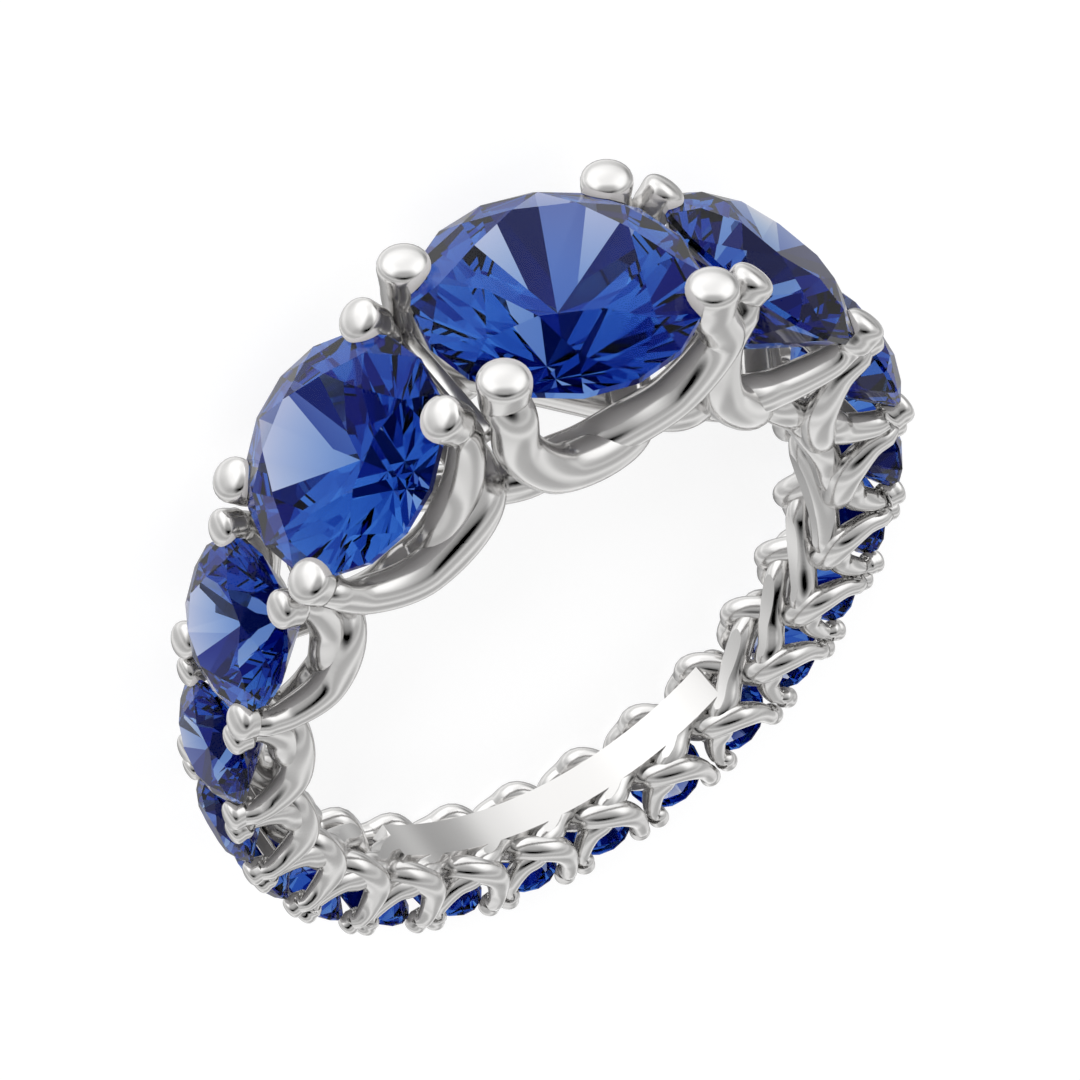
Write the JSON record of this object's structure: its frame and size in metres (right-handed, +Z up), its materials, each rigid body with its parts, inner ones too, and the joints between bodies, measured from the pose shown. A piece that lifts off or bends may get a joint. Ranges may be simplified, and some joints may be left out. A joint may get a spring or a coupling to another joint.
{
  "type": "graduated sapphire eternity ring",
  "caption": "Finger ring with round blue stones all the way round, graduated from a large centre stone, held by four prongs each in a woven wire trellis with a smooth sizing plate.",
  "frame": {"origin": "where the axis of the finger hole meets the surface that the ring lies on", "axes": "+Z up from the surface, out of the front of the ring; +Y towards the centre stone; +X to the right as the front is seen from above"},
  "size_m": [0.0228, 0.0256, 0.0074],
  "materials": {
    "white_metal": "high polish white gold",
    "sapphire": "faceted and polished, deep royal blue"
  },
  "bodies": {
    "root": {"trellis_setting": "white_metal", "stone_centre": "sapphire", "stone_left_1": "sapphire", "stone_left_2": "sapphire", "stone_left_3": "sapphire", "stone_left_4": "sapphire", "stone_left_5": "sapphire", "stone_left_6": "sapphire", "stone_left_7": "sapphire", "stone_left_8": "sapphire", "stone_left_9": "sapphire", "stone_right_1": "sapphire", "stone_right_2": "sapphire", "stone_right_3": "sapphire", "stone_right_4": "sapphire", "stone_right_5": "sapphire", "stone_right_6": "sapphire", "stone_right_7": "sapphire", "stone_right_8": "sapphire", "stone_right_9": "sapphire"}
  },
  "joints": []
}
